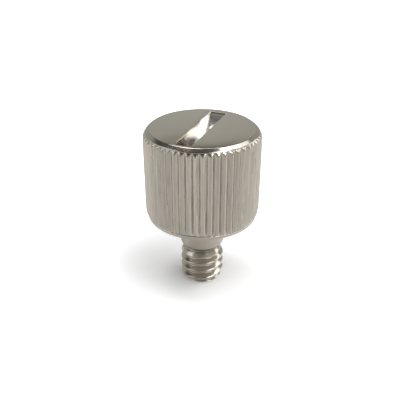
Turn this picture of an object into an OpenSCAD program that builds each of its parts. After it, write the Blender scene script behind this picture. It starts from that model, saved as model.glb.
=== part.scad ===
// Knurled thumb screw with a coin slot, turned from one bar.
// It stands upright on the flat of its tip: the origin is the middle of that
// flat, and +Z runs up the screw's axis, through the head. Millimetres.
// From the top down: a plain ring round the flat face, the straight knurl, a
// plain band, the neck, a relief groove, and the threaded end, which is a
// plain cylinder here at the thread's outer diameter.

/* [Head] */
// Diameter over the tips of the knurl's teeth
head_d = 16; // [12:0.1:26]
// Height of the head, from its underside to its top face
head_h = 12.9; // [5:0.1:25]
// Width of the chamfer round the top face
ring_chamfer_w = 0.5; // [0.2:0.05:0.8]
// Height of the chamfer round the top face
ring_chamfer_h = 0.4; // [0.2:0.05:0.8]
// Height of the ring's plain wall, below its chamfer
ring_wall = 0.1; // [0.05:0.05:0.6]
// How far the ring stands out past the bottoms of the grooves
ring_step = 0.05; // [0.02:0.01:0.1]
// Height of the plain band below the knurl, at the head's lower edge
band_h = 0.5; // [0.3:0.05:2]
// How far the band stands out past the bottoms of the grooves
band_step = 0.1; // [0.05:0.01:0.2]
// Edge break round the head's underside
edge_break = 0.12; // [0.05:0.01:0.25]

/* [Knurl] */
// Distance from tooth to tooth round the head, rounded to fit whole teeth
tooth_pitch = 0.97; // [0.8:0.01:1.5]
// Width of the land left on each tooth's tip
tooth_land = 0.18; // [0.1:0.01:0.3]
// Angle between the two sides of a groove
groove_angle = 90; // [80:1:100]

/* [Coin slot] */
// Width of the slot
slot_w = 2.3; // [1:0.1:3]
// Depth of the slot at its middle
slot_depth = 3.3; // [1.5:0.1:4]
// Flat left on the top face between a centred slot's end and the ring
slot_margin = 0.7; // [0.4:0.05:2]
// How far the slot is off centre, along its length
slot_shift = 0.3; // [0:0.05:0.3]
// Direction of the slot, clockwise from +Y
slot_angle = 22; // [0:1:180]

/* [Neck and relief] */
// Diameter of the plain neck under the head
neck_d = 6.3; // [5:0.05:9]
// Length of the neck, from the head's underside to the relief groove
neck_len = 4.5; // [1:0.1:15]
// Radius of the corner between neck and head
neck_fillet = 0.3; // [0.1:0.05:0.6]
// Depth of the relief groove below the thread's outer diameter
relief_depth = 0.65; // [0.4:0.05:0.75]
// Width of the relief groove's floor
relief_floor_w = 0.2; // [0.1:0.05:2]
// Length of the slope that leads from the relief groove into the thread
relief_lead = 0.95; // [0.3:0.05:1.5]

/* [Threaded end] */
// Outer diameter of the thread
thread_d = 6.2; // [5:0.05:8]
// Length of the threaded end, from the tip to the relief groove
thread_len = 4.35; // [2:0.05:20]
// Chamfer round the tip
tip_chamfer = 0.6; // [0.2:0.05:0.9]

/* [Hidden] */
$fn = 128;

// Overlap that joins solids which would otherwise only touch
overlap = 0.5;

// The knurl's teeth: each tapers by groove_angle less its share of the circle,
// and its sides would meet at sharp_r if its land were not turned off
tooth_count = round(PI * head_d / tooth_pitch);
tooth_half_angle = (groove_angle - 360 / tooth_count) / 2;
sharp_r = head_d / 2 + tooth_land / 2 / tan(tooth_half_angle);

// Radii of the head, from the tooth tips inwards
head_r = head_d / 2;
groove_r = sharp_r * sin(tooth_half_angle) / sin(groove_angle / 2);
ring_r = groove_r + ring_step;
band_r = groove_r + band_step;
face_r = ring_r - ring_chamfer_w;

// Radii of the shank
neck_r = neck_d / 2;
thread_r = thread_d / 2;
relief_r = thread_r - relief_depth;

// Heights above the tip. The relief groove's upper side rises at 45 degrees
relief_floor_z = thread_len + relief_lead;
relief_top_z = relief_floor_z + relief_floor_w;
neck_z = relief_top_z + neck_r - relief_r;
underside_z = neck_z + neck_len;
top_z = underside_z + head_h;
knurl_low_z = underside_z + band_h;
knurl_top_z = top_z - ring_chamfer_h - ring_wall;

// The slot's floor is an arc that runs out on the top face at both ends
slot_half = face_r - slot_margin;
cutter_r = (slot_half * slot_half + slot_depth * slot_depth) / (2 * slot_depth);

// Corners of the knurl's outline: a sharp tooth, then a groove's bottom
knurl_outline = [
    for (i = [0 : 2 * tooth_count - 1])
        let (angle = 180 * i / tooth_count, r = i % 2 == 0 ? sharp_r : groove_r)
            [r * sin(angle), r * cos(angle)]
];

// The knurled length of the head, its teeth cut to a round tip diameter and
// chamfered at 45 degrees at both ends
module knurled_band() {
    intersection() {
        translate([0, 0, knurl_low_z])
            linear_extrude(knurl_top_z - knurl_low_z)
                polygon(knurl_outline);
        rotate_extrude()
            polygon([
                [0, knurl_low_z - overlap],
                [band_r - overlap, knurl_low_z - overlap],
                [head_r, knurl_low_z + head_r - band_r],
                [head_r, knurl_top_z - head_r + ring_r],
                [ring_r - overlap, knurl_top_z + overlap],
                [0, knurl_top_z + overlap]
            ]);
    }
}

// The plain turned ring and top face above the knurl
module top_ring() {
    rotate_extrude()
        polygon([
            [0, knurl_top_z],
            [ring_r, knurl_top_z],
            [ring_r, top_z - ring_chamfer_h],
            [face_r, top_z],
            [0, top_z]
        ]);
}

// The plain turned band below the knurl
module lower_band() {
    rotate_extrude()
        polygon([
            [0, underside_z],
            [band_r - edge_break, underside_z],
            [band_r, underside_z + edge_break],
            [band_r, knurl_low_z],
            [0, knurl_low_z]
        ]);
}

// The dished slot, cut by a round cutter whose axis lies above the top face
module coin_slot() {
    rotate([0, 0, -slot_angle])
        translate([0, -slot_shift, top_z - slot_depth + cutter_r])
            rotate([0, 90, 0])
                cylinder(h = slot_w, r = cutter_r, center = true);
}

// Neck, relief groove and threaded end, turned in one profile
module shank() {
    rotate_extrude()
        difference() {
            polygon([
                [0, 0],
                [thread_r - tip_chamfer, 0],
                [thread_r, tip_chamfer],
                [thread_r, thread_len],
                [relief_r, relief_floor_z],
                [relief_r, relief_top_z],
                [neck_r, neck_z],
                [neck_r, underside_z - neck_fillet],
                [neck_r + neck_fillet, underside_z - neck_fillet],
                [neck_r + neck_fillet, underside_z + overlap],
                [0, underside_z + overlap]
            ]);
            translate([neck_r + neck_fillet, underside_z - neck_fillet])
                circle(r = neck_fillet);
        }
}

module thumb_screw() {
    color("silver")
        difference() {
            union() {
                knurled_band();
                top_ring();
                lower_band();
                shank();
            }
            coin_slot();
        }
}

thumb_screw();
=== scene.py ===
# %% [markdown]
# # A knurled thumb screw
#
# The real screw is one piece of bar. It was turned to shape, its head was knurled, a round
# cutter sank the coin slot, a die cut the thread, and the whole was nickel plated. This file
# makes it in the same order, one operation to a cell, so that each form comes from the tool
# that made it. Lengths are in millimetres until the last step, which scales to metres.

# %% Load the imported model
import math
import random

import bmesh
import bpy
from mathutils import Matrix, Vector, noise


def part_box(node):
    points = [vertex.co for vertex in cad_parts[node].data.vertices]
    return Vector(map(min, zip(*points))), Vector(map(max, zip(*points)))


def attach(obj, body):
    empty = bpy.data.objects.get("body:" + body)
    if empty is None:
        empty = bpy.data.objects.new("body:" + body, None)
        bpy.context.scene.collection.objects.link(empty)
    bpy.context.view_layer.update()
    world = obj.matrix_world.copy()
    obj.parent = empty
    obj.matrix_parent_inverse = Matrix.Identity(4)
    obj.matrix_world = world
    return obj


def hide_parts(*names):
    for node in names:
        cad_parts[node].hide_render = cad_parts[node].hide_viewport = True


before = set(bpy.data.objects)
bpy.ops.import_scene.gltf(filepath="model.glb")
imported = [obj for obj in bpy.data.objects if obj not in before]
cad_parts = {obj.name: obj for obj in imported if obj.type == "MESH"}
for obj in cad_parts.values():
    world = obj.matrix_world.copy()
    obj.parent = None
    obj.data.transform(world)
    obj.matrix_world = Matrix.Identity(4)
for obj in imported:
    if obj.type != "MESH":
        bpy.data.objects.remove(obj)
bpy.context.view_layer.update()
MM = 0.001
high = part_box("thumb_screw")[1] / MM
HEAD_R = high.x
TOP_Z = high.z
print(f"Head {2 * HEAD_R:.1f} mm across, screw {TOP_Z:.1f} mm tall")

# %% [markdown]
# ## Camera
#
# A 50 mm lens close to the screw, looking down at 29 degrees, shows the slot in the top face
# and the neck below the head. From so near, the straight sides of the head draw in towards the
# neck, which a longer lens from further off would lose. The eye is placed from the middle of
# the top face.

# %% Camera
LENS = 49.8
VIEW_DOWN = math.radians(28.8)
EYE = Vector((-0.32, -68.94, 26.85))
camera_data = bpy.data.cameras.new("camera")
camera_data.lens = LENS
camera_data.clip_start = MM
camera = bpy.data.objects.new("camera", camera_data)
camera.location = (EYE + Vector((0, 0, TOP_Z))) * MM
camera.rotation_euler = (math.pi / 2 - VIEW_DOWN, 0, 0)
bpy.context.scene.collection.objects.link(camera)
bpy.context.scene.camera = camera
print("Camera at", [round(value / MM, 1) for value in camera.location], "mm")

# %% [markdown]
# ## Sizes of the turned steps
#
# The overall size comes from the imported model. Here are the steps between: the radius of each
# shoulder, and its height above the tip. The depth of the knurl's grooves isn't a free choice.
# It follows from the number of teeth, the land left on each and the angle of the groove.

# %% Knurl and head sizes
TOOTH_COUNT = 52
TOOTH_LAND = 0.18
GROOVE_ANGLE = math.radians(90)
TOOTH_STEP = math.tau / TOOTH_COUNT
TOOTH_HALF_ANGLE = (GROOVE_ANGLE - TOOTH_STEP) / 2
SHARP_R = HEAD_R + TOOTH_LAND / 2 / math.tan(TOOTH_HALF_ANGLE)
GROOVE_R = SHARP_R * math.sin(TOOTH_HALF_ANGLE) / math.sin(GROOVE_ANGLE / 2)

RING_STEP = 0.05
RING_CHAMFER_W = 0.5
RING_CHAMFER_H = 0.4
RING_WALL = 0.1
BAND_STEP = 0.1
BAND_H = 0.5
EDGE_BREAK = 0.12

RING_R = GROOVE_R + RING_STEP
FACE_R = RING_R - RING_CHAMFER_W
BAND_R = GROOVE_R + BAND_STEP
print(f"Groove depth {HEAD_R - GROOVE_R:.2f} mm, flat top {2 * FACE_R:.1f} mm across")

# %% Shank sizes
NECK_R = 3.15
NECK_LEN = 4.5
NECK_FILLET = 0.3
THREAD_R = 3.1
THREAD_LEN = 4.35
TIP_CHAMFER = 0.6
RELIEF_DEPTH = 0.65
RELIEF_LEAD = 0.95
RELIEF_FLOOR_W = 0.2

RELIEF_R = THREAD_R - RELIEF_DEPTH
RELIEF_Z = THREAD_LEN + RELIEF_LEAD
NECK_Z = RELIEF_Z + RELIEF_FLOOR_W + NECK_R - RELIEF_R
UNDERSIDE_Z = NECK_Z + NECK_LEN
KNURL_LOW_Z = UNDERSIDE_Z + BAND_H
KNURL_TOP_Z = TOP_Z - RING_CHAMFER_H - RING_WALL
print(f"Head {TOP_Z - UNDERSIDE_Z:.1f} mm tall on a shank of {UNDERSIDE_Z:.1f} mm")

# %% [markdown]
# ## Turning
#
# A lathe part is a profile carried round an axis, which is what `bmesh.ops.spin` does. The Screw
# modifier would do it too, but these points are pressed and cut later on, which a bmesh allows
# at once. A long spin in small steps is slow, so one sector is spun, and a second spin copies it
# round the axis. Merging the doubles closes the turn. Each part is left open where it meets the
# next.

# %% Lathe helper
AXIS = (0, 0, 1)
CENTRE = (0, 0, 0)
SAME_POINT = 1e-4


def turn(profile, sectors, steps, climb=0, turns=1):
    """Spin a chain of (radius, height) points round the axis, and up it for a helix."""
    bm = bmesh.new()
    corners = [bm.verts.new((radius, 0, height)) for radius, height in profile]
    chain = [bm.edges.new(pair) for pair in zip(corners, corners[1:])]
    step_climb = climb / sectors / steps
    bmesh.ops.spin(
        bm, geom=corners + chain, cent=CENTRE, axis=AXIS, dvec=(0, 0, step_climb),
        angle=math.tau / sectors, steps=steps, use_merge=False,
    )
    copies = sectors * turns - 1
    bmesh.ops.spin(
        bm, geom=bm.verts[:] + bm.edges[:] + bm.faces[:], cent=CENTRE, axis=AXIS,
        dvec=(0, 0, climb / sectors), angle=math.tau / sectors * copies, steps=copies,
        use_duplicate=True,
    )
    bmesh.ops.remove_doubles(bm, verts=bm.verts, dist=SAME_POINT)
    return bm


# %% [markdown]
# ## Section of the knurl
#
# A straight knurl is a row of V-grooves. Round the circle each tooth has a narrow land, two
# flanks and the bottom of a groove. A knurling wheel squeezes the metal more than it cuts it,
# so the corners of the land are round. At its lower end each groove gets shallower, where the
# wheel's edge ran out towards the plain band.
#
# `soft_most` and `soft_least` make such round corners. They follow the larger or the smaller of
# two lengths, and blend where the two cross.

# %% Knurl section
STEPS_PER_TOOTH = 14
LAND_EASE = 0.3
ROOT_EASE = 0.06
RUN_OUT_SLOPE = 0.2


def soft_most(first, second, ease):
    """The larger of two lengths, with a round corner where they cross."""
    return (first + second + math.hypot(first - second, ease)) / 2


def soft_least(first, second, ease):
    """The smaller of two lengths, with a round corner where they cross."""
    return (first + second - math.hypot(first - second, ease)) / 2


def tooth_radius(share, land, height):
    """Radius at a share of the pitch away from the middle of a tooth, from 0 to 0.5."""
    crown = soft_most(-land / 2, 0, LAND_EASE)
    flank_run = soft_most(share * TOOTH_STEP * HEAD_R - land / 2, 0, LAND_EASE) - crown
    drop = flank_run / math.tan(GROOVE_ANGLE / 2)
    run_out = BAND_R - RUN_OUT_SLOPE * (height - KNURL_LOW_Z)
    return soft_most(HEAD_R - drop, max(GROOVE_R, run_out), ROOT_EASE)


middle_z = (KNURL_LOW_Z + KNURL_TOP_Z) / 2
shares = [i / STEPS_PER_TOOTH for i in range(STEPS_PER_TOOTH // 2 + 1)]
half_tooth = [tooth_radius(share, TOOTH_LAND, middle_z) for share in shares]
print("Half a tooth, land to groove:", [round(radius, 2) for radius in half_tooth])

# %% [markdown]
# ## Blank of the head
#
# The blank is one lathe profile: the ring round the top face, the knurled length with a chamfer
# of 45 degrees at both ends, and the smooth band below it. The mesh rows are close together at
# the ends of the teeth, where the knurl changes within a tenth of a millimetre, and wide along
# the straight part.

# %% Turn the blank
END_ROWS = 13
END_LENGTH = 0.62
MIDDLE_ROWS = 30
SOFT_EDGE = 0.05
RING_FOOT = 0.01
BAND_HEAD = 0.03


def chamfer_radius(height):
    """Radius of the nearer of the two end chamfers at a height along the knurl."""
    return min(RING_R + KNURL_TOP_Z - height, BAND_R + height - KNURL_LOW_Z)


def steps_between(start, end, count):
    """Evenly spaced heights from start towards end, without the last."""
    return [start + (end - start) * i / count for i in range(count)]


ring_profile = [
    (FACE_R - SOFT_EDGE, TOP_Z),
    (FACE_R, TOP_Z - SOFT_EDGE * 0.2),
    (FACE_R + SOFT_EDGE, TOP_Z - SOFT_EDGE),
    (FACE_R + SOFT_EDGE * 3, TOP_Z - SOFT_EDGE * 2.5),
    (RING_R - SOFT_EDGE * 2, KNURL_TOP_Z + RING_WALL + SOFT_EDGE * 1.75),
    (RING_R - SOFT_EDGE, KNURL_TOP_Z + RING_WALL + SOFT_EDGE),
    (RING_R, KNURL_TOP_Z + RING_WALL - SOFT_EDGE * 0.5),
    (RING_R, KNURL_TOP_Z + RING_FOOT),
]
rows = steps_between(KNURL_TOP_Z, KNURL_TOP_Z - END_LENGTH, END_ROWS)
rows += steps_between(KNURL_TOP_Z - END_LENGTH, KNURL_LOW_Z + END_LENGTH, MIDDLE_ROWS)
rows += steps_between(KNURL_LOW_Z + END_LENGTH, KNURL_LOW_Z, END_ROWS) + [KNURL_LOW_Z]
knurl_profile = [(min(HEAD_R, chamfer_radius(height)), height) for height in rows]
band_profile = [
    (BAND_R, KNURL_LOW_Z - BAND_HEAD),
    (BAND_R, UNDERSIDE_Z + EDGE_BREAK),
    (BAND_R - EDGE_BREAK * 0.3, UNDERSIDE_Z + EDGE_BREAK * 0.3),
    (BAND_R - EDGE_BREAK, UNDERSIDE_Z),
]
screw = turn(ring_profile + knurl_profile + band_profile, TOOTH_COUNT, STEPS_PER_TOOTH)
print(f"Blank: {len(screw.verts)} points in {len(rows)} rows of the knurl")

# %% [markdown]
# ## Pressing the knurl
#
# No two teeth of a real knurl are alike: one land smears wider, one leans, and all of them
# wander a little along the head. The wheel passes more than once, and leaves a thin second line
# beside the middle of each tooth, for part of its length. Seeded random numbers give each tooth
# its own share of all this.
#
# Then every point along the knurl moves in to the section of its tooth, and the ends of the
# teeth roll over into the chamfers.

# %% Draw lots for the teeth
random.seed(7)
LAND_SPREAD = 0.08
LEAN_SPREAD = 0.07
SCORE_SPREAD = 0.3
SHORT_SCORE = 2
LONG_SCORE = 8
teeth = range(TOOTH_COUNT)
land_of = [TOOTH_LAND + random.uniform(-LAND_SPREAD, LAND_SPREAD) for _ in teeth]
lean_of = [random.uniform(-LEAN_SPREAD, LEAN_SPREAD) for _ in teeth]
score_of = [random.uniform(-SCORE_SPREAD, SCORE_SPREAD) for _ in teeth]
score_middle_of = [random.uniform(KNURL_LOW_Z, KNURL_TOP_Z) for _ in teeth]
score_reach_of = [random.uniform(SHORT_SCORE, LONG_SCORE) for _ in teeth]
print(f"Lands from {min(land_of):.2f} to {max(land_of):.2f} mm wide")

# %% Press the grooves
END_EASE = 0.16
TOOTH_TURN = math.radians(0.4)
WANDER = 0.06
WANDER_RATE = 0.3
TOOTH_APART = 3.1
SCORE_DEPTH = 0.06
SCORE_HALF = 0.09
SCORE_RAMP = 1.5


def score_depth(tooth, share, height):
    """Depth of the scored line beside a tooth's middle. It fades out at both ends."""
    beside = abs(share - score_of[tooth]) * TOOTH_STEP * HEAD_R
    to_end = score_reach_of[tooth] - abs(height - score_middle_of[tooth])
    fade = min(max(to_end / SCORE_RAMP, 0), 1)
    return SCORE_DEPTH * fade * max(1 - beside / SCORE_HALF, 0)


knurl_points = [
    vert for vert in screw.verts
    if KNURL_LOW_Z - SAME_POINT < vert.co.z < KNURL_TOP_Z + SAME_POINT
]
for vert in knurl_points:
    turns = math.atan2(vert.co.y, vert.co.x) / TOOTH_STEP
    tooth = round(turns)
    share = turns - tooth
    pressed = tooth_radius(abs(share), land_of[tooth], vert.co.z)
    pressed -= score_depth(tooth, share, vert.co.z)
    radius = soft_least(chamfer_radius(vert.co.z), pressed, END_EASE)
    drift = noise.noise(Vector((tooth * TOOTH_APART, 0, vert.co.z * WANDER_RATE))) * WANDER
    slide = (lean_of[tooth] + drift) * (1 - 2 * abs(share))
    angle = (turns + slide) * TOOTH_STEP + TOOTH_TURN
    vert.co.x = radius * math.cos(angle)
    vert.co.y = radius * math.sin(angle)
print(f"Pressed {len(knurl_points)} points into {TOOTH_COUNT} teeth")

# %% [markdown]
# ## Dents
#
# A screw that has been tipped into boxes has small nicks on its tooth tips. Each dent pushes
# the points round a random place on the head a few hundredths of a millimetre inwards. The
# faces of the knurl aren't flat after that, so they are split along their shorter diagonals.

# %% Nick the teeth
DENT_COUNT = 40
DENT_R = 0.3
DENT_DEPTH = 0.1
DENT_ASIDE = 0.15
DENT_TO_END = 0.5
DENT_LEAST = 0.4
CROWN_DEPTH = 0.2
dents = []
for _ in range(DENT_COUNT):
    dent_turns = random.randrange(TOOTH_COUNT) + random.uniform(-DENT_ASIDE, DENT_ASIDE)
    angle = dent_turns * TOOTH_STEP
    height = random.uniform(KNURL_LOW_Z + DENT_TO_END, KNURL_TOP_Z - DENT_TO_END)
    spot = Vector((HEAD_R * math.cos(angle), HEAD_R * math.sin(angle), height))
    dents.append((spot, random.uniform(DENT_LEAST, 1)))
for vert in knurl_points:
    for spot, size in dents:
        near = 1 - (vert.co - spot).length / (DENT_R * size)
        if near > 0 and vert.co.xy.length > HEAD_R - CROWN_DEPTH:
            vert.co.xy *= 1 - DENT_DEPTH * size * near / HEAD_R
flanks = [
    face for face in screw.faces
    if any(KNURL_LOW_Z < vert.co.z < KNURL_TOP_Z for vert in face.verts)
]
bmesh.ops.triangulate(screw, faces=flanks, quad_method="SHORT_EDGE")
print(f"Nicked the teeth {DENT_COUNT} times")

# %% [markdown]
# ## The coin slot
#
# A round cutter sinks into the top face and leaves a slot with a curved floor. A Boolean with a
# disc cuts it as cleanly, but bmesh has no such operator. It is a modifier, which needs two
# objects in the middle of the work. So the face starts as a disc with one polygon. Two long
# cuts and a row of cross cuts divide the slot's outline out of it. Those faces are extruded,
# and the new points sink to the cutter's arc.

# %% Slot sizes
SLOT_W = 2.3
SLOT_DEPTH = 3.3
SLOT_MARGIN = 0.7
SLOT_SHIFT = 0.3
SLOT_ANGLE = math.radians(22)
SLOT_HALF = FACE_R - SLOT_MARGIN
CUTTER_R = (SLOT_HALF ** 2 + SLOT_DEPTH ** 2) / (2 * SLOT_DEPTH)
along = Vector((math.sin(SLOT_ANGLE), math.cos(SLOT_ANGLE), 0))
across = Vector((math.cos(SLOT_ANGLE), -math.sin(SLOT_ANGLE), 0))
slot_middle = -SLOT_SHIFT * along
print(f"Slot {2 * SLOT_HALF:.1f} mm long, cutter radius {CUTTER_R:.1f} mm")

# %% Divide the top face
SLOT_ROWS = 40
top = bmesh.new()
bmesh.ops.create_circle(
    top, cap_ends=True, segments=TOOTH_COUNT * STEPS_PER_TOOTH, radius=FACE_R - SOFT_EDGE
)


def cut(bm, point, normal):
    """Cut all of a bmesh along a plane."""
    bmesh.ops.bisect_plane(
        bm, geom=bm.verts[:] + bm.edges[:] + bm.faces[:], plane_co=point, plane_no=normal
    )


for side in (-1, 1):
    cut(top, across * side * SLOT_W / 2, across)
reach = math.asin(SLOT_HALF / CUTTER_R)
for row in range(SLOT_ROWS + 1):
    station = CUTTER_R * math.sin(reach * (2 * row / SLOT_ROWS - 1))
    strip = {face for face in top.faces if abs(face.calc_center_median().dot(across)) < SLOT_W / 2}
    strip_edges = {edge for face in strip for edge in face.edges}
    strip_corners = {vert for face in strip for vert in face.verts}
    bmesh.ops.bisect_plane(
        top, geom=list(strip | strip_edges | strip_corners),
        plane_co=slot_middle + along * station, plane_no=along,
    )
print(f"Top face divided into {len(top.faces)} faces")


# %% Sink the slot
def over_slot(face):
    """Whether the middle of a face of the top lies inside the slot's outline."""
    offset = face.calc_center_median() - slot_middle
    return abs(offset.dot(across)) < SLOT_W / 2 and abs(offset.dot(along)) < SLOT_HALF


opening = [face for face in top.faces if over_slot(face)]
sunk = bmesh.ops.extrude_face_region(top, geom=opening)["geom"]
bmesh.ops.delete(top, geom=[face for face in opening if face.is_valid], context="FACES")
for vert in (item for item in sunk if isinstance(item, bmesh.types.BMVert)):
    offset = (vert.co - slot_middle).dot(along)
    reach_down = math.sqrt(max(CUTTER_R ** 2 - offset ** 2, 0))
    vert.co.z -= max(reach_down - CUTTER_R + SLOT_DEPTH, 0)
bmesh.ops.remove_doubles(top, verts=top.verts, dist=SAME_POINT)
print(f"Top face with its slot: {len(top.faces)} faces")

# %% Ease the slot's edges
SLOT_EDGE = 0.05


def is_flat(face):
    """Whether a face lies in the top plane."""
    return all(abs(vert.co.z) < SAME_POINT for vert in face.verts)


slot_edges = [
    edge for edge in top.edges
    if len(edge.link_faces) == 2 and sum(map(is_flat, edge.link_faces)) == 1
]
bmesh.ops.bevel(
    top, geom=slot_edges, offset=SLOT_EDGE, offset_type="OFFSET",
    segments=2, profile=0.5, affect="EDGES", material=-1, clamp_overlap=True,
)
print(f"Eased {len(slot_edges)} edges round the slot")

# %% Join the top to the head
RIM_GAP = 1e-3


def add_part(bm, part):
    """Add another bmesh to this one, and free it."""
    carrier = bpy.data.meshes.new("carrier")
    part.to_mesh(carrier)
    part.free()
    bm.from_mesh(carrier)
    bpy.data.meshes.remove(carrier)


# The long cuts ended in new points on the disc's rim. They move to the points beside them,
# which the ring has too.
for stub in [vert for vert in top.verts if vert.is_boundary and len(vert.link_edges) == 3]:
    neighbours = [edge.other_vert(stub) for edge in stub.link_edges if edge.is_boundary]
    nearest = min(neighbours, key=lambda vert: (vert.co - stub.co).length)
    bmesh.ops.weld_verts(top, targetmap={stub: nearest})
bmesh.ops.translate(top, vec=(0, 0, TOP_Z), verts=top.verts)
add_part(screw, top)
bmesh.ops.remove_doubles(screw, verts=screw.verts, dist=RIM_GAP)
print(f"Head: {len(screw.faces)} faces")

# %% [markdown]
# ## The thread
#
# A thread is one section of crest, flanks and root that climbs as it turns. `spin` can also
# step along its axis, so the same helper makes the helix. Each turn ends where the next
# begins, and merging the doubles joins them. The helix starts below the tip and ends above the
# relief groove, and plane cuts trim it there.

# %% Sweep the thread
THREAD_PITCH = 1.27
THREAD_DEPTH = 0.69
CREST_FLAT = THREAD_PITCH / 8
ROOT_FLAT = THREAD_PITCH / 4
CREST_EASE = 0.05
THREAD_ROOT_EASE = 0.06
THREAD_ROWS = 24
SECTORS = 12
STEPS_PER_SECTOR = 10
TURNS = 7
TURNS_BELOW = 3
FIRST_CREST = 1.02


def thread_radius(share):
    """Radius at a share of the pitch from the middle of a crest, from 0 to 0.5."""
    flank = (THREAD_PITCH - CREST_FLAT - ROOT_FLAT) / 2
    down = THREAD_DEPTH * (share * THREAD_PITCH - CREST_FLAT / 2) / flank
    return THREAD_R - soft_most(soft_least(down, THREAD_DEPTH, THREAD_ROOT_EASE), 0, CREST_EASE)


shares = [i / THREAD_ROWS for i in range(THREAD_ROWS // 2 + 1)]
half_thread = [(thread_radius(share), share) for share in shares]
one_pitch = half_thread[:-1] + [(radius, 1 - share) for radius, share in reversed(half_thread)]
# The crest passes the front, -Y, at FIRST_CREST, which is a quarter turn before +X.
start_z = FIRST_CREST + THREAD_PITCH / 4 - TURNS_BELOW * THREAD_PITCH
thread_profile = [(radius, start_z + share * THREAD_PITCH) for radius, share in one_pitch]
thread = turn(thread_profile, SECTORS, STEPS_PER_SECTOR, THREAD_PITCH, TURNS)
print(f"Thread: {len(thread.verts)} points in {TURNS} turns")

# %% Trim the thread
THREAD_TOP_Z = RELIEF_Z + RELIEF_FLOOR_W / 4
RIM_REACH = 0.2


def end_radius(height):
    """Radius of the turned end at a height: tip chamfer, full size, then the relief."""
    lead = (height - THREAD_LEN) / RELIEF_LEAD
    relief = max(RELIEF_R, THREAD_R - RELIEF_DEPTH * lead)
    return min(THREAD_R - TIP_CHAMFER + height, THREAD_R, relief)


def rim(bm, height, radius):
    """The open edge loop at a height, near a radius."""
    def on_rim(vert):
        near = abs(vert.co.xy.length - radius) < RIM_REACH
        return near and abs(vert.co.z - height) < SAME_POINT
    return [edge for edge in bm.edges if edge.is_boundary and all(map(on_rim, edge.verts))]


for height, keep_above in ((0, True), (THREAD_TOP_Z, False)):
    bmesh.ops.bisect_plane(
        thread, geom=thread.verts[:] + thread.edges[:] + thread.faces[:],
        plane_co=(0, 0, height), plane_no=AXIS, clear_inner=keep_above, clear_outer=not keep_above,
    )
for height in (TIP_CHAMFER, THREAD_LEN, RELIEF_Z):
    cut(thread, (0, 0, height), AXIS)
for vert in thread.verts:
    vert.co.xy *= min(1, end_radius(vert.co.z) / vert.co.xy.length)
bmesh.ops.contextual_create(thread, geom=rim(thread, 0, THREAD_R - TIP_CHAMFER))
print(f"Trimmed thread: {len(thread.faces)} faces")

# %% [markdown]
# ## Neck, and one closed surface
#
# The neck is turned with a fillet under the head. `bridge_loops` then joins the open rims of
# head, neck and thread, so that the screw is one closed skin, as the real one is. Parts that
# only overlapped would render too, but with ends hidden inside one another.

# %% Turn the neck
NECK_STEPS = 13
NECK_EASE = 0.12
FILLET_STEPS = 5


def arc(centre, radius, start, end, steps):
    """Points of an arc in the profile plane, its angles in degrees from the radius axis."""
    angles = [math.radians(start + (end - start) * i / steps) for i in range(steps + 1)]
    return [(centre[0] + radius * math.cos(a), centre[1] + radius * math.sin(a)) for a in angles]


neck_profile = [
    (RELIEF_R, RELIEF_Z + RELIEF_FLOOR_W / 2),
    (RELIEF_R, RELIEF_Z + RELIEF_FLOOR_W),
    (NECK_R - NECK_EASE, NECK_Z - NECK_EASE),
    (NECK_R - NECK_EASE * 0.3, NECK_Z + NECK_EASE * 0.4),
    (NECK_R, NECK_Z + NECK_EASE * 1.4),
]
fillet_centre = (NECK_R + NECK_FILLET, UNDERSIDE_Z - NECK_FILLET)
neck_profile += arc(fillet_centre, NECK_FILLET, 180, 90, FILLET_STEPS)
neck = turn(neck_profile, SECTORS, NECK_STEPS)
print(f"Neck: {len(neck.faces)} faces")

# %% Join head, neck and thread
add_part(screw, neck)
add_part(screw, thread)
seat_rims = rim(screw, UNDERSIDE_Z, BAND_R - EDGE_BREAK)
seat_rims += rim(screw, UNDERSIDE_Z, NECK_R + NECK_FILLET)
relief_rims = rim(screw, RELIEF_Z + RELIEF_FLOOR_W / 2, RELIEF_R)
relief_rims += rim(screw, THREAD_TOP_Z, RELIEF_R)
for loops in (seat_rims, relief_rims):
    bmesh.ops.bridge_loops(screw, edges=loops)
bmesh.ops.recalc_face_normals(screw, faces=screw.faces)
open_edges = sum(not edge.is_manifold for edge in screw.edges)
print(f"Screw: {len(screw.faces)} faces, {open_edges} open edges")

# %% Make the object
SHARP_ANGLE = math.radians(32)
bmesh.ops.scale(screw, vec=(MM, MM, MM), verts=screw.verts)
for face in screw.faces:
    face.smooth = True
screw_mesh = bpy.data.meshes.new("nickel_screw")
screw.to_mesh(screw_mesh)
screw.free()
screw_mesh.set_sharp_from_angle(angle=SHARP_ANGLE)
screw_piece = bpy.data.objects.new("nickel_screw", screw_mesh)
bpy.context.scene.collection.objects.link(screw_piece)
screw_mesh.calc_loop_triangles()
print(f"{len(screw_mesh.loop_triangles)} triangles")

# %% [markdown]
# ## Shader arithmetic
#
# `Wire` is one output of a shader node. Sums and products of wires add Math nodes, so that a
# mask can be written as a formula. Any other node comes from `Wire.node`.

# %% Wire class


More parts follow.
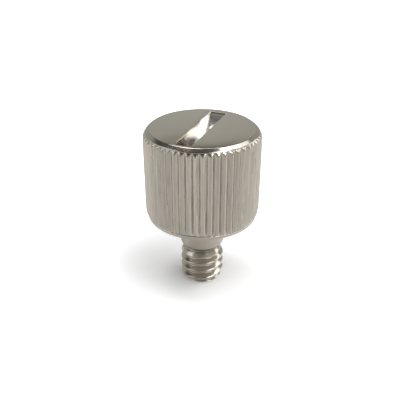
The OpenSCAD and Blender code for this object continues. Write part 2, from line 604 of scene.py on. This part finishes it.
class Wire:
    """One output of a shader node, or the whole tree while it has no output yet."""

    def __init__(self, tree, socket=None):
        self.tree = tree
        self.socket = socket

    def node(self, kind, settings=None, inputs=None, output=0):
        """Add a node: its settings first, then the values or wires of its inputs."""
        made = self.tree.nodes.new(kind)
        for name, value in (settings or {}).items():
            setattr(made, name, value)
        for key, value in (inputs or {}).items():
            if isinstance(value, Wire):
                self.tree.links.new(value.socket, made.inputs[key])
            else:
                made.inputs[key].default_value = value
        return Wire(self.tree, made.outputs[output])

    def feed(self, socket):
        """Link this wire to a socket of the shader."""
        self.tree.links.new(self.socket, socket)

    def math(self, operation, *values):
        """A Math node on some values."""
        return self.node("ShaderNodeMath", {"operation": operation}, dict(enumerate(values)))

    def rise(self, start, end):
        """0 where the wire is at start, 1 at end, and a smooth step between."""
        return self.node(
            "ShaderNodeMapRange", {"interpolation_type": "SMOOTHSTEP"},
            {"Value": self, "From Min": start, "From Max": end},
        )

    def blend(self, first, second):
        """A colour that goes from first to second as the wire goes from 0 to 1."""
        return self.node("ShaderNodeMix", {"data_type": "RGBA"}, {0: self, 6: first, 7: second}, 2)

    def __add__(self, other):
        return self.math("ADD", self, other)

    __radd__ = __add__

    def __mul__(self, other):
        return self.math("MULTIPLY", self, other)

    def __sub__(self, other):
        return self.math("SUBTRACT", self, other)

    def __rsub__(self, other):
        return self.math("SUBTRACT", other, self)


def new_material(name):
    """A material, its Principled shader, and a Wire to start from."""
    material = bpy.data.materials.new(name)
    material.use_nodes = True
    return material, material.node_tree.nodes["Principled BSDF"], Wire(material.node_tree)


# %% [markdown]
# ## Nickel plate
#
# Nickel is a little yellower and darker than chrome. The plate is bright but not a mirror: it
# shows every tool mark below it. So the finish changes with the operation. Turned faces have
# fine rings, deepest on the ring round the top, and the knurl has marks along its teeth.
#
# Handling changes it too. The bottoms of the grooves and the inside of the slot are out of a
# thumb's reach and stay brightest. Grime leaves dark streaks along the knurl, and the ring round
# the top is a little darker. Painted shade darkens the thread, more at its root, the relief
# groove under the neck and the near end of the slot. All of it is worked out from Object
# coordinates, in millimetres, so that it stays on the screw from every side.
#
# Each place is a mask, from 0 off it to 1 on it. The colour and the roughness are sums, in which
# each mask is multiplied by its own share.

# %% Places on the head
BLUR = 0.1
nickel, plate, start = new_material("nickel_plate")
place = start.node("ShaderNodeTexCoord", output="Object")
place = start.node("ShaderNodeVectorMath", {"operation": "SCALE"}, {0: place, "Scale": 1 / MM})
x, y, z = (start.node("ShaderNodeSeparateXYZ", None, {0: place}, axis) for axis in "XYZ")
radius = start.math("SQRT", x * x + y * y)
above_band = z.rise(KNURL_LOW_Z - BLUR, KNURL_LOW_Z + BLUR)
at_ring = z.rise(KNURL_TOP_Z - BLUR, KNURL_TOP_Z)
on_knurl = above_band * (1 - at_ring) * radius.rise(GROOVE_R - 3 * BLUR, GROOVE_R - 2 * BLUR)
in_groove = on_knurl * (1 - radius.rise(GROOVE_R + 0.2 * BLUR, GROOVE_R + 2 * BLUR))
on_ring = at_ring * radius.rise(FACE_R - BLUR, FACE_R)
print("Masks for the knurl, its grooves and the ring")

# %% Places in the slot and on the shank
# The slot's near end gets painted shade, which fades out towards the slot's middle.
SLOT_SHADE_END = -0.65 * SLOT_HALF
SLOT_SHADE_START = -0.25 * SLOT_HALF
# The relief groove under the neck gets painted shade.
NECK_SHADE_LOW_Z = NECK_Z - 1.3
NECK_SHADE_HIGH_Z = NECK_Z - 0.4
within_face = 1 - radius.rise(SLOT_HALF + SLOT_SHIFT, FACE_R)
below_face = 1 - z.rise(TOP_Z - 3 * BLUR, TOP_Z - 0.5 * BLUR)
in_slot = within_face * below_face * z.rise(UNDERSIDE_Z, KNURL_LOW_Z)
lengthways = x * along.x + y * along.y
shaded_slot_end = in_slot * (1 - lengthways.rise(SLOT_SHADE_END, SLOT_SHADE_START))
on_thread = 1 - z.rise(RELIEF_Z - BLUR, NECK_Z)
in_root = on_thread * (1 - radius.rise(THREAD_R - THREAD_DEPTH, THREAD_R - BLUR))
shaded_under_neck = on_thread * z.rise(NECK_SHADE_LOW_Z, NECK_SHADE_HIGH_Z)
print("Masks for the slot, its near end, the thread, its root and the relief groove")

# %% Tool marks
RING_MARKS = 6.0
TOOTH_MARKS = 5.0
PATCHES = 0.35
SQUEEZE = (1.0, 1.0, 0.08)


def fine_noise(vector, scale):
    """Noise from 0 to 1 at a scale in waves a millimetre."""
    return start.node("ShaderNodeTexNoise", None, {"Vector": vector, "Scale": scale, "Detail": 3.0})


ring_place = start.node("ShaderNodeCombineXYZ", None, {"X": radius, "Y": z})
rings = fine_noise(ring_place, RING_MARKS)
tooth_place = start.node("ShaderNodeMapping", None, {"Vector": place, "Scale": SQUEEZE})
drawn = fine_noise(tooth_place, TOOTH_MARKS)
streaks = on_knurl * (1 - drawn.rise(0.35, 0.6))
marks = rings * (1 - on_knurl) + drawn * on_knurl
clouds = fine_noise(place, PATCHES)
print("Rings on the turned faces, lines along the teeth, and faint patches")

# %% Colour
NICKEL_WARM = (0.566, 0.510, 0.438, 1)
NICKEL_COOL = (0.550, 0.508, 0.444, 1)
BRIGHT = (0.78, 0.76, 0.72, 1)
# The dark colour serves both the grime streaks and the painted shade.
GRIME_AND_SHADE = (0.10, 0.095, 0.08, 1)
tint = clouds.rise(0.35, 0.65).blend(NICKEL_WARM, NICKEL_COOL)
shine = in_slot + in_groove * 0.5 + on_thread * 0.1
# Grime streaks on the knurl and a darker ring, plus painted shade on the thread, in its root, under
# the neck and at the slot's near end.
dirt_and_shade = streaks * 0.15 + in_root * 0.16 + on_thread * 0.04
dirt_and_shade = dirt_and_shade + shaded_under_neck * 0.82 + on_ring * 0.2 + shaded_slot_end * 0.95
dirt_and_shade.blend(shine.blend(tint, BRIGHT), GRIME_AND_SHADE).feed(plate.inputs["Base Color"])
plate.inputs["Metallic"].default_value = 1
print("Nickel, brighter where no thumb reaches, darker where grime gathers")

# %% Roughness and bump
POLISH = 0.11
MARK_STRENGTH = 0.25
MARK_DEPTH = 0.004 * MM
rough = POLISH + clouds * 0.06 + marks * 0.04 + on_thread * 0.02 + in_slot * 0.05
rough.feed(plate.inputs["Roughness"])
bump = start.node(
    "ShaderNodeBump", None,
    {"Strength": MARK_STRENGTH, "Distance": MARK_DEPTH, "Height": marks * (1 + on_ring)},
)
bump.feed(plate.inputs["Normal"])
screw_mesh.materials.append(nickel)
print(f"Nickel plate: {len(nickel.node_tree.nodes)} nodes")

# %% [markdown]
# ## Floor
#
# White paper. Bright metal mirrors it all round, and a sheet that is as white in the metal as to
# the eye makes the plating too pale. Light Path tells the rays apart, so that each kind meets
# its own paper. The metal mirrors white paper at both sides, and in front paper painted darker:
# painted shade, as if somebody at the camera kept the light off. That darkens the knurl, the
# neck and the thread, and leaves the top face as it is. A ray that comes from neither the camera
# nor a mirror meets grey paper.

# %% Paper in the metal
PAPER = (0.985, 0.985, 1.0, 1)
GREY = (0.5, 0.5, 0.5, 1)
DARK_X = -5 * MM
SHARE_IN_FRONT = 0.28
SHARE_BESIDE = 1.0
paper, sheet, start = new_material("white_paper")
seen = start.node("ShaderNodeLightPath", output="Is Camera Ray")
mirrored = start.node("ShaderNodeLightPath", output="Is Glossy Ray")
place = start.node("ShaderNodeTexCoord", output="Object")
x, y = (start.node("ShaderNodeSeparateXYZ", None, {0: place}, axis) for axis in "XY")
# Painted shade: in the metal the paper darkens along the line x = DARK_X, in front of the screw and
# behind it.
aside = x - DARK_X
beside = start.math("DIVIDE", aside * aside, aside * aside + y * y)
share = SHARE_IN_FRONT + beside * (SHARE_BESIDE - SHARE_IN_FRONT)
(seen + mirrored * share).blend(GREY, PAPER).feed(sheet.inputs["Base Color"])
sheet.inputs["Roughness"].default_value = 1
sheet.inputs["Specular IOR Level"].default_value = 0
print(f"In the metal the paper is {SHARE_IN_FRONT:.0%} white in front, {SHARE_BESIDE:.0%} beside")

# %% [markdown]
# The camera sees white paper that also glows, a little round SHADE_CENTRE, left of and behind
# the screw's axis, and more with distance from it. So it runs out into the white background.
# The screw's own shadow shows only near that point, and is deepened there by painted shade
# where the glow is least.

# %% Paper before the camera
BLACK = (0, 0, 0, 1)
SHADE_CENTRE = (-2 * MM, 4 * MM, 0)
LEAST_GLOW = 0.07
NEAR_GLOW = 0.7
away = start.node(
    "ShaderNodeVectorMath", {"operation": "DISTANCE"}, {0: place, 1: SHADE_CENTRE}, "Value"
)
# Painted shade: the glow is least round SHADE_CENTRE, which deepens the shadow there.
glow = LEAST_GLOW + away.rise(3 * MM, 24 * MM) * NEAR_GLOW + away.rise(20 * MM, 200 * MM)
(seen * glow).blend(BLACK, PAPER).feed(sheet.inputs["Emission Color"])
sheet.inputs["Emission Strength"].default_value = 1
print(f"White paper: {len(paper.node_tree.nodes)} nodes")

# %% Floor
FLOOR_HALF = 1.5
floor_plane = bmesh.new()
bmesh.ops.create_grid(floor_plane, x_segments=1, y_segments=1, size=FLOOR_HALF)
floor_mesh = bpy.data.meshes.new("paper_floor")
floor_plane.to_mesh(floor_mesh)
floor_plane.free()
floor_mesh.materials.append(paper)
floor = bpy.data.objects.new("paper_floor", floor_mesh)
bpy.context.scene.collection.objects.link(floor)
print(f"White floor, {2 * FLOOR_HALF:.0f} m square")

# %% [markdown]
# ## Lights
#
# Bright metal shows each lamp as a white shape, so the lamps' edges are placed as carefully as
# their light. Seven soft boxes stand round the screw, and each has its part:
#
# - the top box, high on the right, whitens the middle of the slot and the right half of the
#   ring, and throws the main shadow to the left;
# - the front box catches the ends of the teeth right of the middle, and the thread's crests;
# - the right box lights the right side of ring and thread, and the low window under it the
#   ends of the teeth at the far right;
# - the back box lights the near half of the slot, and with the box overhead the front of the
#   ring and the paper on the left;
# - the left box is wide and dim, and lights the ends of the teeth and the thread on the left.
#
# Each is given by its angles and its spread as seen from the screw, because those are what the
# metal mirrors. Its power follows from its size, so that a wider box isn't a dimmer one.

# %% Soft boxes
AIM = Vector((0, 0, 0.012))
BOX_DISTANCE = 0.6


def soft_box(name, azimuth, elevation, width, height, radiance):
    """A lamp that faces the screw, with its angles and its spread in degrees."""
    turn_to, tilt = math.radians(azimuth), math.radians(elevation)
    level = math.cos(tilt)
    direction = Vector((level * math.cos(turn_to), level * math.sin(turn_to), math.sin(tilt)))
    data = bpy.data.lights.new(name, "AREA")
    data.shape = "RECTANGLE"
    data.size = 2 * BOX_DISTANCE * math.tan(math.radians(width / 2))
    data.size_y = 2 * BOX_DISTANCE * math.tan(math.radians(height / 2))
    data.energy = radiance * math.pi * data.size * data.size_y
    lamp = bpy.data.objects.new(name, data)
    lamp.location = AIM + direction * BOX_DISTANCE
    lamp.rotation_euler = direction.to_track_quat("Z", "Y").to_euler()
    bpy.context.scene.collection.objects.link(lamp)
    print(f"{name}: {data.size:.2f} by {data.size_y:.2f} m, {data.energy:.1f} W")


# Name, azimuth and elevation, width and height of its spread, and radiance.
soft_box("top_box", -17, 62, 42, 17, 3.8)
soft_box("front_box", -46, 44, 30, 15, 3.2)
soft_box("right_box", 13, 44, 34, 18, 2.0)
soft_box("right_window", 18, 17, 40, 18, 1.6)
soft_box("back_box", 137, 69, 22, 24, 3.8)
soft_box("over_box", 100, 79, 36, 14, 3.0)
soft_box("left_box", 194, 34, 32, 36, 0.8)

# %% [markdown]
# ## Room
#
# What is neither lamp nor floor is the room: pale walls, which the top face mirrors, under a
# dark ceiling, which the far end of the slot and the front of the ring mirror. Height in the
# world is the Z of the direction, 0 at the horizon and 1 overhead. The camera itself sees white.
# For that the level is raised past 1, since at exactly 1 parts of it render a shade too dark.

# %% Room
WALL_LEVEL = 0.51
CEILING_LEVEL = 0.1
ROOM_TINT = (0.98, 1.0, 0.94, 1)
WALL_TOP = 0.46
CEILING_EDGE = 0.62
room = bpy.data.worlds.new("room")
room.use_nodes = True
bpy.context.scene.world = room
start = Wire(room.node_tree)
direction = start.node("ShaderNodeTexCoord", output="Generated")
z = start.node("ShaderNodeSeparateXYZ", None, {0: direction}, "Z")
seen = start.node("ShaderNodeLightPath", output="Is Camera Ray")
level = WALL_LEVEL - z.rise(WALL_TOP, CEILING_EDGE) * (WALL_LEVEL - CEILING_LEVEL) + seen
background = room.node_tree.nodes["Background"]
background.inputs["Color"].default_value = ROOM_TINT
level.feed(background.inputs["Strength"])
print("Room: pale walls below a dark ceiling")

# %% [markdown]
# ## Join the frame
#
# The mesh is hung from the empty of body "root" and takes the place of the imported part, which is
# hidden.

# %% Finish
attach(screw_piece, "root")
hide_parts("thumb_screw")
bpy.context.scene.view_settings.view_transform = "Standard"
